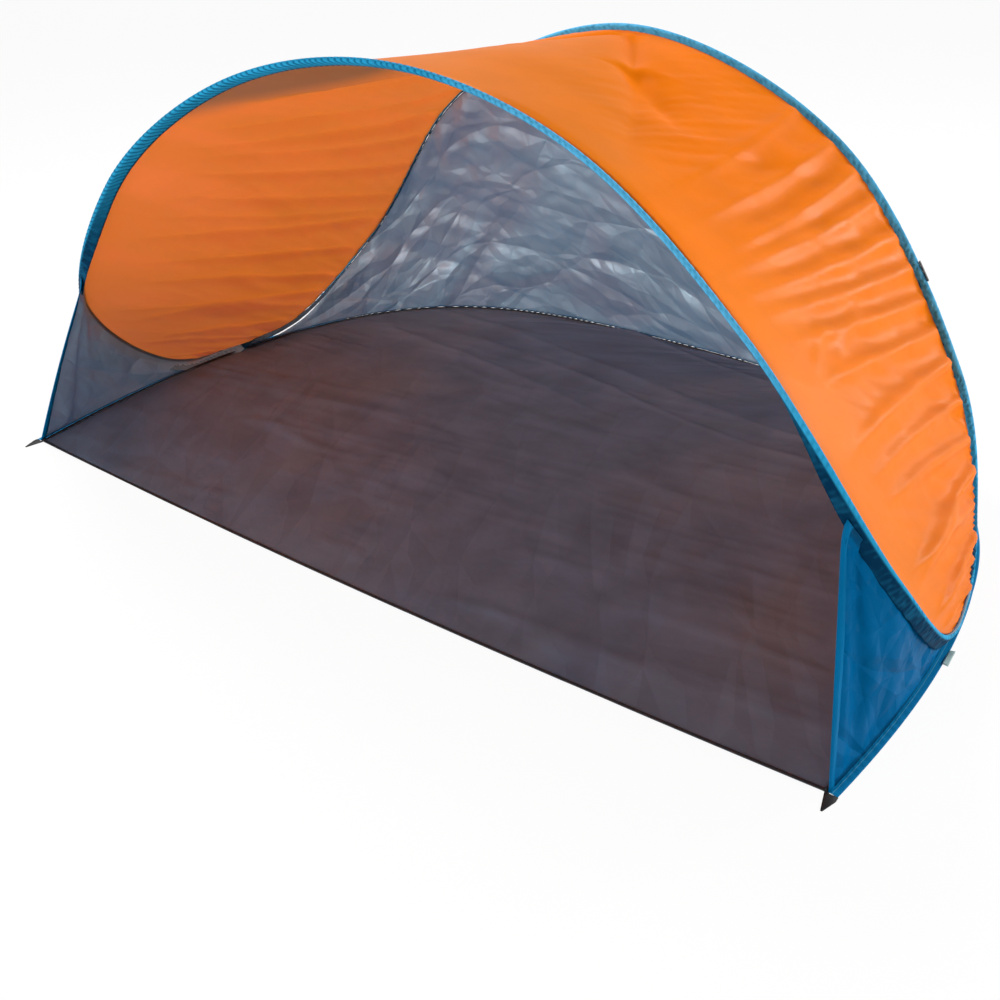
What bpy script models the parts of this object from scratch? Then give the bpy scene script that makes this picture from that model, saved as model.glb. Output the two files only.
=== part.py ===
"""Pop-up beach shelter, 2 m wide: one closed hoop of spring wire, bent into a saddle, stands on two low
turns and spreads a canopy between its front and rear arches. A rear wall, two side walls and a ground
sheet hang from the same hoop.

Metres. X runs along the mouth, Y from the mouth to the back, Z up. The origin is on the ground, half way
along the line between the two turns, which is also where the shelter folds."""
import math

import bpy
import numpy as np

# Driving dimensions of the hoop and the ground sheet, metres
HALF_SPAN = 0.996
ARCH_HEIGHT = 0.901
FLOOR_DEPTH = 1.227
FLOOR_FRONT_BOW = 0.020
FLOOR_REAR_RISE = 0.038

# How far behind the front edge the shelter folds, as a share of FLOOR_DEPTH
FOLD_SHARE = 0.4605
FOLD_BACK = FOLD_SHARE * FLOOR_DEPTH

# The right edge of the ground sheet is one smooth sweep: how far out it starts at the front corner, is drawn
# towards at the side and is drawn towards at the back, as shares of HALF_SPAN
FLOOR_SWEEP_SHARES = (0.969, 1.135, 0.440)
FLOOR_HALF_FRONT = FLOOR_SWEEP_SHARES[0] * HALF_SPAN

# Lowest height of the wire's centre, where the turns rest on the skirt, and how softly they come down to it
WIRE_REST = 0.0066
WIRE_REST_EASE = 0.0035

# The cloth, the clearance between sewn pieces and the wire
CLOTH = 0.0012
GAP = 0.0003
WIRE_RADIUS = 0.0025
WIRE_CLEARANCE = 0.0004

# The sleeve: a tube with a flat seam along its inner edge, measured from the wire's centre to the seam's.
# The canopy draws the seam of each arch towards the other arch; low down the walls pull it inward instead.
SLEEVE_WIDTH = 0.021
FRONT_LEAN = math.radians(58)
REAR_LEAN = math.radians(35)
LOW_LEAN = math.radians(8)
LEAN_START_SHARE = 0.42
LEAN_FULL_SHARE = 0.68

# The crimped tube over the joint in the wire
FERRULE_WALL = 0.0009
FERRULE_LENGTH = 0.044
FERRULE_STEP = 44

# Cloth edges
HEM_WIDTH = 0.014
WALL_SET_IN = 0.002
BINDING_WIDTH = 0.008
BINDING_SET_IN = 0.0045
SKIRT_SIDE_WIDTH = 0.014
SKIRT_REAR_WIDTH = 0.038
SKIRT_WIDEN_SHARE = 0.50

# Webbing: the pointed peg tabs at the front corners and the guy tabs on the rear arch
WEBBING = 0.0016
TAB_WIDTH = 0.022
TAB_LENGTH = 0.040
TAB_INSET = 0.007
TAB_SPLAY = 0.012
GUY_TAB_LENGTH = 0.044
GUY_TAB_WIDTH = 0.010
GUY_TAB_STEP = 38

# The blank care tag on the right side, by the low turn
TAG_STEP = 23
TAG_LENGTH = 0.045
TAG_WIDTH = 0.014
TAG_THICKNESS = 0.0006

# Slack of the cloth and its main folds
CANOPY_SAG = 0.012
CANOPY_FOLD = 0.006
CANOPY_FOLDS = 9
WALL_BILLOW = 0.022
WALL_FOLD = 0.005
WALL_FOLDS = 7
SIDE_BILLOW = 0.010

# Half the hoop from the top of the front arch, round the low turn, to the top of the rear arch:
# shares of HALF_SPAN, FLOOR_DEPTH and ARCH_HEIGHT
HOOP_SHARES = (
    (0.000, 0.152, 1.000),
    (0.379, 0.139, 0.917),
    (0.707, 0.112, 0.675),
    (0.962, 0.152, 0.297),
    (1.000, 0.372, 0.020),
    (0.928, 0.648, 0.037),
    (0.790, 0.803, 0.293),
    (0.476, 0.820, 0.736),
    (0.000, 0.804, 0.934),
)
STEPS = 6
RING = 2 * (len(HOOP_SHARES) - 1) * STEPS
TOP_REAR = RING // 2

# Steps round the hoop: where the side walls start, where the wire bends when the shelter folds, where the
# side seams are and where the canopy comes to a point
WALL_STEP = 16
BEND_FRONT_STEP = 20
TIP_STEP = 24
SEAM_STEP = 26
BEND_REAR_STEP = 32

# Where the wall's foot stands along the edge of the ground sheet, as a share of that edge, at steps of the hoop
FOOT_SHARES = ((16, 0.000), (26, 0.190), (30, 0.290), (36, 0.410), (42, 0.650), (48, 1.000))

# Rows and columns of the cloth
CANOPY_COLUMNS = 10
WALL_ROWS = 9
SIDE_ROWS = 6
FLOOR_COLUMNS = 8
HEM_COLUMNS = 16

# The line that the sleeve's inner edge points at
SPINE_HEIGHT_SHARE = 0.30
SPINE_SPAN_SHARE = 0.80

# Colours, roughness and metallic value of each material
MATERIALS = {
    "orange_cloth": ((0.90, 0.22, 0.03, 1.0), 0.45, 0.0),
    "blue_cloth": ((0.01, 0.17, 0.42, 1.0), 0.40, 0.0),
    "light_blue_cloth": ((0.05, 0.36, 0.66, 1.0), 0.45, 0.0),
    "floor_cloth": ((0.070, 0.058, 0.070, 1.0), 0.55, 0.0),
    "black_webbing": ((0.008, 0.008, 0.009, 1.0), 0.75, 0.0),
    "black_tape": ((0.012, 0.012, 0.016, 1.0), 0.70, 0.0),
    "spring_steel": ((0.45, 0.46, 0.48, 1.0), 0.35, 1.0),
    "white_tag": ((0.80, 0.80, 0.80, 1.0), 0.60, 0.0),
}


def clear_scene():
    for old in list(bpy.data.objects):
        bpy.data.objects.remove(old, do_unlink=True)


def material(name):
    found = bpy.data.materials.get(name)
    if found:
        return found
    colour, roughness, metallic = MATERIALS[name]
    made = bpy.data.materials.new(name)
    made.use_nodes = True
    shader = made.node_tree.nodes["Principled BSDF"]
    shader.inputs["Base Color"].default_value = colour
    shader.inputs["Roughness"].default_value = roughness
    shader.inputs["Metallic"].default_value = metallic
    made.diffuse_color = colour
    return made


def unit(vectors):
    return vectors / np.linalg.norm(vectors, axis=-1, keepdims=True)


def across(vectors, axis):
    """The part of each vector that is square to its axis."""
    return vectors - axis * np.sum(vectors * axis, axis=-1, keepdims=True)


def mirrored(points):
    return points * np.array([-1.0, 1.0, 1.0])


def smooth_ring(stations, steps):
    """A closed Catmull-Rom curve through the stations."""
    before, after, beyond = (np.roll(stations, shift, axis=0) for shift in (1, -1, -2))
    share = (np.arange(steps) / steps)[None, :, None]
    a, b, c, d = (points[:, None, :] for points in (before, stations, after, beyond))
    curve = 0.5 * (2 * b + (c - a) * share + (2 * a - 5 * b + 4 * c - d) * share**2
                   + (3 * b - a - 3 * c + d) * share**3)
    return curve.reshape(-1, 3)


def hoop_centre_line():
    right = np.array(HOOP_SHARES) * np.array([HALF_SPAN, FLOOR_DEPTH, ARCH_HEIGHT])
    right[:, 1] -= FOLD_BACK
    left = mirrored(right[-2:0:-1])
    hoop = smooth_ring(np.vstack([right, left]), STEPS)
    over = hoop[:, 2] - WIRE_REST
    hoop[:, 2] = WIRE_REST + (over + np.sqrt(over**2 + 4 * WIRE_REST_EASE**2)) / 2
    return hoop


def band_directions(hoop, tangent):
    """From the wire towards the sewn seam: inward, and leaning towards the other arch higher up."""
    spine = hoop * np.array([SPINE_SPAN_SHARE, 1.0, 0.0])
    spine[:, 2] = SPINE_HEIGHT_SHARE * ARCH_HEIGHT
    inward = unit(across(spine - hoop, tangent))
    other = unit(across(-np.sign(hoop[:, 1:2]) * np.array([[0.0, 1.0, 0.0]]), tangent))
    other = unit(across(other, inward))
    share = np.clip((hoop[:, 2] / ARCH_HEIGHT - LEAN_START_SHARE) / (LEAN_FULL_SHARE - LEAN_START_SHARE), 0.0, 1.0)
    share = share * share * (3.0 - 2.0 * share)
    full = np.where(hoop[:, 1] < 0, FRONT_LEAN, REAR_LEAN)
    middle = np.clip(np.abs(hoop[:, 1]) / (FOLD_BACK / 2), 0.0, 1.0)
    lean = ((LOW_LEAN + (full - LOW_LEAN) * share) * middle)[:, None]
    return unit(inward * np.cos(lean) + other * np.sin(lean))


HOOP = hoop_centre_line()
TANGENT = unit(np.roll(HOOP, -1, axis=0) - np.roll(HOOP, 1, axis=0))
BAND = band_directions(HOOP, TANGENT)
FACE = np.cross(TANGENT, BAND)
SEAM = HOOP + BAND * SLEEVE_WIDTH


def floor_rise(y):
    """Height of the ground sheet, whose rear margin is drawn up by the wall."""
    share = np.clip(((y + FOLD_BACK) / FLOOR_DEPTH - 0.5) / 0.5, 0.0, 1.0)
    return FLOOR_REAR_RISE * share**2


def floor_edge(share):
    """The right edge of the ground sheet, from the front corner to the middle of the back."""
    share = np.atleast_1d(np.asarray(share, dtype=float))[:, None]
    front, side, rear = (sweep * HALF_SPAN for sweep in FLOOR_SWEEP_SHARES)
    corners = np.array([[front, 0.0], [side, FLOOR_DEPTH], [rear, FLOOR_DEPTH], [0.0, FLOOR_DEPTH]])
    rest = 1.0 - share
    flat = (rest**3 * corners[0] + 3 * rest**2 * share * corners[1]
            + 3 * rest * share**2 * corners[2] + share**3 * corners[3])
    y = flat[:, 1] - FOLD_BACK
    return np.column_stack([flat[:, 0], y, floor_rise(y)])


def foot_share(step):
    steps, shares = zip(*FOOT_SHARES)
    return np.interp(step, steps, shares)


def foot_line(steps):
    return floor_edge([foot_share(step) for step in steps])


def outward(line):
    """Level directions that point away from the ground sheet along its right edge."""
    run = unit(np.gradient(line, axis=0) * np.array([1.0, 1.0, 0.0]))
    return np.column_stack([run[:, 1], -run[:, 0], np.zeros(len(run))])


def add_object(name, mesh, slot):
    mesh.materials.append(material(slot))
    made = bpy.data.objects.new(name, mesh)
    bpy.context.scene.collection.objects.link(made)
    return made


def mesh_of(name, points, faces):
    mesh = bpy.data.meshes.new(name)
    mesh.from_pydata([tuple(point) for point in points], [], faces)
    mesh.validate()
    mesh.update()
    return mesh


def sheet_faces(rows, columns):
    return [(r * columns + c, r * columns + c + 1, (r + 1) * columns + c + 1, (r + 1) * columns + c)
            for r in range(rows - 1) for c in range(columns - 1)]


def add_sheet(name, grid, slot, thickness=CLOTH, welded=0.0):
    """A cloth panel: a grid of points given its thickness, half to each side."""
    rows, columns, _ = grid.shape
    made = add_object(name, mesh_of(name, grid.reshape(-1, 3), sheet_faces(rows, columns)), slot)
    if welded:
        weld = made.modifiers.new("Close the points", "WELD")
        weld.merge_threshold = welded
    solid = made.modifiers.new("Cloth", "SOLIDIFY")
    solid.thickness = thickness
    solid.offset = 0.0
    made.data.shade_smooth()
    return made


def add_strip(name, inner, outer, slot, thickness=CLOTH):
    """A tape or hem between two lines of points."""
    return add_sheet(name, np.stack([inner, outer], axis=1), slot, thickness)


def steps_between(first, last):
    return [step % RING for step in range(first, last + 1)]


def trimmed(centre, tangent, steps):
    """Points on the hoop, with half of the clearance taken off at both ends."""
    line = centre[steps].copy()
    line[0] += tangent[steps[0]] * GAP / 2
    line[-1] -= tangent[steps[-1]] * GAP / 2
    return line


def lofted(name, steps, outlines, slot):
    """A tube along the hoop: one ring of points per step. The second outline, if any, is its bore."""
    centre = trimmed(HOOP, TANGENT, steps)
    points = []
    for place, step in zip(centre, steps):
        for outline in outlines(step):
            for along, side in outline:
                points.append(place + BAND[step] * along + FACE[step] * side)
    around = 8
    stride = len(points) // len(steps)
    last = len(steps) - 1
    hollow = stride > around
    faces = []
    for ring in range(last):
        here, there = stride * ring, stride * (ring + 1)
        for i in range(around):
            j = (i + 1) % around
            faces.append((here + i, here + j, there + j, there + i))
            if hollow:
                faces.append((here + around + j, here + around + i, there + around + i, there + around + j))
    end = stride * last
    if hollow:
        for i in range(around):
            j = (i + 1) % around
            faces.append((i, around + i, around + j, j))
            faces.append((end + j, end + around + j, end + around + i, end + i))
    else:
        faces.append(tuple(range(around - 1, -1, -1)))
        faces.append(tuple(range(end, end + around)))
    made = add_object(name, mesh_of(name, points, faces), slot)
    made.data.shade_smooth()
    made.data.set_sharp_from_angle(angle=math.radians(60))
    return made


def polygon_share(sides):
    return math.cos(math.pi / sides)


def sleeve_bore(step):
    """Radius of the sleeve's channel to its corners: it is wider over the crimped tube."""
    inside = WIRE_RADIUS + WIRE_CLEARANCE
    if step in (FERRULE_STEP, FERRULE_STEP + 1):
        inside = ferrule_outer_radius() + GAP
    return inside / polygon_share(8)


def ferrule_outer_radius():
    return (WIRE_RADIUS + GAP) / polygon_share(8) + FERRULE_WALL


def sleeve_outline(bore):
    """Eight points across the sleeve: round over the wire, drawn in to a flat seam of two layers."""
    radius = bore + CLOTH
    round_end = [(radius * math.cos(math.radians(turn)), radius * math.sin(math.radians(turn)))
                 for turn in (90, 135, 180, 225, 270)]
    return [(SLEEVE_WIDTH + CLOTH, 0.0), (SLEEVE_WIDTH, CLOTH), *round_end, (SLEEVE_WIDTH, -CLOTH)]


def channel_outline(bore):
    return [(bore * math.cos(math.radians(turn)), bore * math.sin(math.radians(turn)))
            for turn in range(0, 360, 45)]


def sleeve_outlines(step):
    bore = sleeve_bore(step)
    return sleeve_outline(bore), channel_outline(bore)


def wire_outlines(step):
    return (channel_outline(WIRE_RADIUS),)


def add_ferrule():
    """A short steel tube, crimped over the joint in the wire."""
    start, end = HOOP[FERRULE_STEP], HOOP[FERRULE_STEP + 1]
    run = unit(end - start)
    side = unit(across(BAND[FERRULE_STEP], run))
    up = np.cross(run, side)
    middle = (start + end) / 2
    inner = (WIRE_RADIUS + GAP) / polygon_share(8)
    points = []
    for end_sign in (-1, 1):
        for radius in (ferrule_outer_radius(), inner):
            for turn in range(0, 360, 45):
                spoke = side * math.cos(math.radians(turn)) + up * math.sin(math.radians(turn))
                points.append(middle + run * end_sign * FERRULE_LENGTH / 2 + spoke * radius)
    faces = []
    for i in range(8):
        j = (i + 1) % 8
        faces.append((i, j, 16 + j, 16 + i))
        faces.append((8 + j, 8 + i, 24 + i, 24 + j))
        faces.append((i, 8 + i, 8 + j, j))
        faces.append((16 + j, 24 + j, 24 + i, 16 + i))
    return add_object("hoop_ferrule", mesh_of("hoop_ferrule", points, faces), "spring_steel")


def seam_start(step, target):
    """Where cloth that hangs from the seam starts: square to the seam, and clear of the sleeve's flank."""
    direction = unit(across(target - SEAM[step], TANGENT[step]))
    folded = max(float(-direction @ BAND[step]), 0.0)
    flank = sleeve_bore(step) / SLEEVE_WIDTH
    clear = math.sqrt(1.0 - folded**2) - flank * folded
    return SEAM[step] + direction * (CLOTH * (1.0 + folded / 2) + 2 * GAP) / clear


def canopy_edge(step):
    """Where the canopy starts, on the side of the seam towards the middle of the canopy."""
    pair = abs(TIP_STEP - step)
    inner = TIP_STEP - pair
    above = max(inner - 5, 0)
    target = (SEAM[above] + SEAM[TOP_REAR - above]) / 2
    return seam_start(step, target)


def canopy_grid():
    """Rows from the right tip over the top to the left tip, columns from the front arch to the rear arch."""
    share = np.linspace(0.0, 1.0, CANOPY_COLUMNS + 1)[:, None]
    right = []
    for step in range(TIP_STEP, -1, -1):
        front, rear = canopy_edge(step), canopy_edge(TOP_REAR - step)
        slack = np.linalg.norm(rear - front) / FLOOR_DEPTH
        row = front + (rear - front) * share
        centre = np.array([0.0, row[:, 1].mean(), SPINE_HEIGHT_SHARE * ARCH_HEIGHT])
        inward = unit(centre - row.mean(axis=0))
        belly = np.sin(math.pi * share)
        phase = CANOPY_FOLDS * math.pi * step / TIP_STEP
        fold = np.cos(phase + 2.0 * share) * CANOPY_FOLD
        right.append(row + inward * belly * slack * (CANOPY_SAG + fold))
    right = np.array(right)
    return np.concatenate([right, mirrored(right[-2::-1])])


def wall_feet():
    """The walls stand on the margin of the ground sheet, just inside its edge, and in front on its hem."""
    edge = foot_line(range(WALL_STEP, TOP_REAR + 1))
    line = edge - outward(edge) * WALL_SET_IN
    line[:, 2] = edge[:, 2] + CLOTH + GAP
    line[0, 2] += CLOTH
    return line


def wall_grid(first, last, rows, billow, fold, folds):
    """Columns along the right half of the hoop, rows from the seam down to the ground sheet."""
    steps = list(range(first, last + 1))
    feet = wall_feet()[[step - WALL_STEP for step in steps]]
    share = np.linspace(0.0, 1.0, rows + 1)
    columns = []
    for step, foot in zip(steps, feet):
        top = seam_start(step, foot)
        run = TANGENT[step] * np.array([1.0, 1.0, 0.3])
        out = unit(np.cross(run, foot - top))
        out *= np.sign(out @ (foot * np.array([1.0, 1.0, 0.0])))
        half = CLOTH if step == WALL_STEP else CLOTH / 2
        drop = foot + np.array([0.0, 0.0, half * abs(out[2])]) - top
        height = top[2] / ARCH_HEIGHT
        wave = np.sin(folds * math.pi * (step / TIP_STEP) - 3.0 * share) * fold
        push = np.sin(math.pi * share) * height * (billow + wave)
        columns.append(top + drop * share[:, None] + out * push[:, None])
    return np.array(columns)


def shortened(grid, start, end):
    """The grid with its first and last columns moved inward by a length."""
    grid = grid.copy()
    grid[0] += unit(grid[1] - grid[0]) * start
    grid[-1] += unit(grid[-2] - grid[-1]) * end
    return grid


def add_walls():
    rear = wall_grid(SEAM_STEP, TOP_REAR, WALL_ROWS, WALL_BILLOW, WALL_FOLD, WALL_FOLDS)
    rear = np.concatenate([rear, mirrored(rear[-2::-1])])
    add_sheet("rear_wall", shortened(rear, GAP / 2, GAP / 2), "blue_cloth")
    side = wall_grid(WALL_STEP, SEAM_STEP, SIDE_ROWS, SIDE_BILLOW, 0.0, 0)
    panel = shortened(side, HEM_WIDTH + GAP, GAP / 2)
    hem_inner = side[0] + unit(side[1] - side[0]) * HEM_WIDTH
    for hand, flip in (("right", lambda points: points), ("left", mirrored)):
        add_sheet("side_wall_" + hand, flip(panel), "blue_cloth")
        add_strip("side_hem_" + hand, flip(side[0]), flip(hem_inner), "blue_cloth", 2 * CLOTH)


def front_edge(x):
    """The front edge of the ground sheet bows forward between its corners."""
    bow = FLOOR_FRONT_BOW * (1.0 - (x / FLOOR_HALF_FRONT) ** 2)
    return -FOLD_BACK - bow


def add_ground_sheet():
    """Rows from the front hem to the back, level at the front and drawn up at the rear margin."""
    edge = foot_line(range(WALL_STEP, TOP_REAR))
    across_share = np.linspace(-1.0, 1.0, FLOOR_COLUMNS + 1)
    grid = np.array([[(place[0] * share, place[1], place[2]) for share in across_share] for place in edge])
    grid[0, :, 1] = front_edge(grid[0, :, 0]) + HEM_WIDTH + GAP
    grid[:, :, 2] += CLOTH / 2
    add_sheet("ground_sheet", grid, "floor_cloth")


def add_front_hem():
    x = np.linspace(-FLOOR_HALF_FRONT, FLOOR_HALF_FRONT, HEM_COLUMNS + 1)
    front = np.column_stack([x, front_edge(x), np.full(len(x), CLOTH)])
    back = front + np.array([0.0, HEM_WIDTH, 0.0])
    add_strip("floor_front_hem", front, back, "floor_cloth", 2 * CLOTH)


def add_binding():
    """Black tape over the seam between the ground sheet and the walls, seen from inside."""
    steps = range(WALL_STEP, TOP_REAR + 1)
    edge = foot_line(steps)
    away = outward(edge)
    lift = np.array([0.0, 0.0, CLOTH + GAP + CLOTH / 2])
    outer = edge - away * BINDING_SET_IN + lift
    inner = outer - away * BINDING_WIDTH
    outer, inner = (clear_of_hem(line) for line in (outer, inner))
    outer = np.concatenate([outer, mirrored(outer[-2::-1])])
    inner = np.concatenate([inner, mirrored(inner[-2::-1])])
    add_strip("floor_binding", inner, outer, "black_tape")


def clear_of_hem(line):
    """The line with its front end moved behind the hem of the front edge."""
    line = line.copy()
    line[0, 1] += HEM_WIDTH + GAP
    return line


def skirt_lines(steps):
    """The wall's lower hem, from the edge of the ground sheet out on to the ground: it widens at the back."""
    edge = foot_line(steps)
    away = outward(edge)
    top = edge + away * 3 * GAP + np.array([0.0, 0.0, CLOTH / 2])
    depth = (edge[:, 1:2] + FOLD_BACK) / FLOOR_DEPTH
    wider = np.clip((depth - SKIRT_WIDEN_SHARE) / (1.0 - SKIRT_WIDEN_SHARE), 0.0, 1.0)
    foot = edge + away * (SKIRT_SIDE_WIDTH + (SKIRT_REAR_WIDTH - SKIRT_SIDE_WIDTH) * wider)
    foot[:, 2] = CLOTH / 2
    return top, foot


def add_skirts():
    top, foot = skirt_lines(range(WALL_STEP, TOP_REAR + 1))
    split = SEAM_STEP - WALL_STEP
    strips = np.stack([top, foot], axis=1)
    rear = strips[split:]
    rear = np.concatenate([rear, mirrored(rear[-2::-1])])
    add_sheet("skirt_rear", shortened(rear, GAP / 2, GAP / 2), "light_blue_cloth")
    side = shortened(strips[: split + 1], 3 * GAP, GAP / 2)
    add_sheet("skirt_right", side, "light_blue_cloth")
    add_sheet("skirt_left", mirrored(side), "light_blue_cloth")


def add_plate(name, outline, direction, slot):
    """A flat piece: an outline pushed through along a direction."""
    base = np.array(outline)
    count = len(base)
    points = np.vstack([base, base + np.array(direction)])
    faces = [tuple(range(count)), tuple(range(2 * count - 1, count - 1, -1))]
    faces += [(i, i + count, (i + 1) % count + count, (i + 1) % count) for i in range(count)]
    made = add_object(name, mesh_of(name, points, faces), slot)
    return made


def add_corner_tabs():
    """Pointed webbing tabs, pegged to the ground in front of the front corners."""
    inner = FLOOR_HALF_FRONT - TAB_INSET
    back = -FOLD_BACK - 4 * GAP
    outline = [
        np.array([inner, back, 0.0]),
        np.array([inner + TAB_WIDTH, back, 0.0]),
        np.array([inner + TAB_SPLAY, back - TAB_LENGTH, 0.0]),
    ]
    up = (0.0, 0.0, WEBBING)
    add_plate("corner_tab_right", outline, up, "black_webbing")
    add_plate("corner_tab_left", [mirrored(point) for point in outline], up, "black_webbing")


def add_guy_tabs():
    """Flat webbing loops sewn to the outside of the rear sleeve."""
    start, end = HOOP[GUY_TAB_STEP], HOOP[GUY_TAB_STEP + 1]
    run = unit(end - start)
    out = unit(across(-(BAND[GUY_TAB_STEP] + BAND[GUY_TAB_STEP + 1]), run))
    side = np.cross(run, out)
    seat = (start + end) / 2 + out * (sleeve_bore(GUY_TAB_STEP) + CLOTH + GAP)
    outline = [seat + run * along * GUY_TAB_LENGTH / 2 + side * over * GUY_TAB_WIDTH / 2
               for along, over in ((-1, -1), (1, -1), (1, 1), (-1, 1))]
    thick = out * WEBBING
    add_plate("guy_tab_right", outline, thick, "black_webbing")
    add_plate("guy_tab_left", [mirrored(point) for point in outline], mirrored(thick), "black_webbing")


def add_care_tag():
    """A blank tag by the right side seam, hanging forward over the outer edge of the skirt."""
    _, foot = skirt_lines(range(WALL_STEP, TOP_REAR + 1))
    here = TAG_STEP - WALL_STEP
    run = unit(foot[here - 1] - foot[here])
    over = np.array([-run[1], run[0], 0.0])
    start = foot[here] + np.array([0.0, 0.0, CLOTH / 2 + GAP])
    outline = [start + run * along * TAG_LENGTH + over * side * TAG_WIDTH / 2
               for along, side in ((0, -1), (1, -1), (1, 1), (0, 1))]
    add_plate("care_tag", outline, (0.0, 0.0, TAG_THICKNESS), "white_tag")


def add_hoop():
    front = steps_between(-BEND_FRONT_STEP, BEND_FRONT_STEP)
    right = steps_between(BEND_FRONT_STEP, BEND_REAR_STEP)
    rear = steps_between(BEND_REAR_STEP, RING - BEND_REAR_STEP)
    left = steps_between(RING - BEND_REAR_STEP, RING - BEND_FRONT_STEP)
    for name, steps in (("front", front), ("turn_right", right), ("rear", rear), ("turn_left", left)):
        lofted("hoop_" + name, steps, wire_outlines, "spring_steel")
        lofted("sleeve_" + name, steps, sleeve_outlines, "light_blue_cloth")
    add_ferrule()


def outward_faces():
    """Turn every mesh's faces outward."""
    for made in bpy.context.scene.objects:
        if made.type != "MESH":
            continue
        if made.modifiers:
            continue
        volume = 0.0
        places = [vertex.co for vertex in made.data.vertices]
        for face in made.data.polygons:
            first = places[face.vertices[0]]
            for i in range(1, len(face.vertices) - 1):
                second, third = places[face.vertices[i]], places[face.vertices[i + 1]]
                volume += first.dot(second.cross(third))
        if volume < 0:
            made.data.flip_normals()


def main():
    clear_scene()
    add_hoop()
    add_sheet("canopy", canopy_grid(), "orange_cloth", welded=0.00001)
    add_walls()
    add_ground_sheet()
    add_front_hem()
    add_binding()
    add_skirts()
    add_corner_tabs()
    add_guy_tabs()
    add_care_tag()
    outward_faces()


main()
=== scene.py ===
"""The look of the pop-up beach shelter: folded cloth, shirred sleeves and sewn edges on the fixed frame."""
import math

import bmesh
import bpy
import numpy as np
from mathutils import Matrix


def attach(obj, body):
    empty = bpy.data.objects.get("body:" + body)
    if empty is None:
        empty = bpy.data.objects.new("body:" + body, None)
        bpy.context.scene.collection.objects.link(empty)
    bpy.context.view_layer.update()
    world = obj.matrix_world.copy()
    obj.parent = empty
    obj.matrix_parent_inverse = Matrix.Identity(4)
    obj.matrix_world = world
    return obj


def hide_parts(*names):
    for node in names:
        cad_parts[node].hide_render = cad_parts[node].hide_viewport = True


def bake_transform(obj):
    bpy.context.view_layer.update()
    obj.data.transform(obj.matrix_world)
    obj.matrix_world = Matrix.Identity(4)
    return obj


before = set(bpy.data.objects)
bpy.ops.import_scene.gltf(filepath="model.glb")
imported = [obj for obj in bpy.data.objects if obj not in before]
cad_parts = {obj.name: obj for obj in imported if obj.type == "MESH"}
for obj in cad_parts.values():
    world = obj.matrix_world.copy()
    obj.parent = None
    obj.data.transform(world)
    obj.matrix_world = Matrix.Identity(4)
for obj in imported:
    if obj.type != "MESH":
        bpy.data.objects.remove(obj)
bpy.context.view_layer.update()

# Sizes shared with the solid model, metres
HALF_SPAN = 0.996
ARCH_HEIGHT = 0.901
FLOOR_DEPTH = 1.227
FOLD_BACK = 0.4605 * FLOOR_DEPTH
FLOOR_BOW = 0.020
FLOOR_RISE = 0.038
WIRE = 0.0025
WIRE_REST = 0.0066
WIRE_EASE = 0.0035
SLEEVE = 0.021
SLEEVE_ROUND = 0.0046
SKIRT_SIDE = 0.014
SKIRT_REAR = 0.038

# How far the sleeve's seam leans out of the arch's plane, on the two arches and low down
LEAN_FRONT = math.radians(58)
LEAN_REAR = math.radians(35)
LEAN_LOW = math.radians(8)

# Half widths of the floor as shares of HALF_SPAN: its front corner, and two handles of its curved edge
FLOOR_SWEEP = (0.969, 1.135, 0.440)
FLOOR_HALF_FRONT = FLOOR_SWEEP[0] * HALF_SPAN

# Stations of the wire's right half, from the front apex to the rear one, as shares of HALF_SPAN,
# FLOOR_DEPTH and ARCH_HEIGHT
HOOP_SHARES = (
    (0.000, 0.152, 1.000),
    (0.379, 0.139, 0.917),
    (0.707, 0.112, 0.675),
    (0.962, 0.152, 0.297),
    (1.000, 0.372, 0.020),
    (0.928, 0.648, 0.037),
    (0.790, 0.803, 0.293),
    (0.476, 0.820, 0.736),
    (0.000, 0.804, 0.934),
)

# Steps from one station to the next, round the whole hoop and along one half, and about how long one is
STEPS = 6
RING = 96
HALF = RING // 2
STEP_LENGTH = 0.0562

# Steps of the right half: the side wall's front edge, the low turn, the walls' common seam and the tag
WALL_STEP = 16
TIP = 24
SEAM_STEP = 26
TAG_STEP = 23

# Which share of the floor's edge lies below which step
FOOT = ((16, 0.000), (26, 0.190), (30, 0.290), (36, 0.410), (42, 0.650), (48, 1.000))

# Thickness of the cloths
CLOTH_THICK = 0.0006
FLOOR_THICK = 0.0007
RIBBON_THICK = 0.0004

# Least height of cloth above the ground, by the walls and by the sleeve
WALL_CLEAR = 0.0045
SLEEVE_CLEAR = 0.0008


def unit(v):
    return v / np.maximum(np.linalg.norm(v, axis=-1, keepdims=True), 1e-12)


def across(v, axis):
    return v - axis * np.sum(v * axis, axis=-1, keepdims=True)


def facing(v, way):
    """v or its reverse, whichever points along way."""
    return v * np.sign(np.sum(v * way, axis=-1, keepdims=True))


def ease(x, low, high):
    t = np.clip((np.asarray(x, float) - low) / (high - low), 0.0, 1.0)
    return t * t * (3.0 - 2.0 * t)


def window(x, rise, fall):
    """0 below rise, 1 between rise and fall, and 0 again above fall."""
    return ease(x, *rise) * (1 - ease(x, *fall))


def mix(a, b, share):
    return a + (b - a) * share


def flipped(hand):
    """Factors that take a point to the other half of the shelter where hand is -1."""
    hand = np.asarray(hand, float)
    return np.stack([hand, np.ones_like(hand), np.ones_like(hand)], -1)


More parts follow.
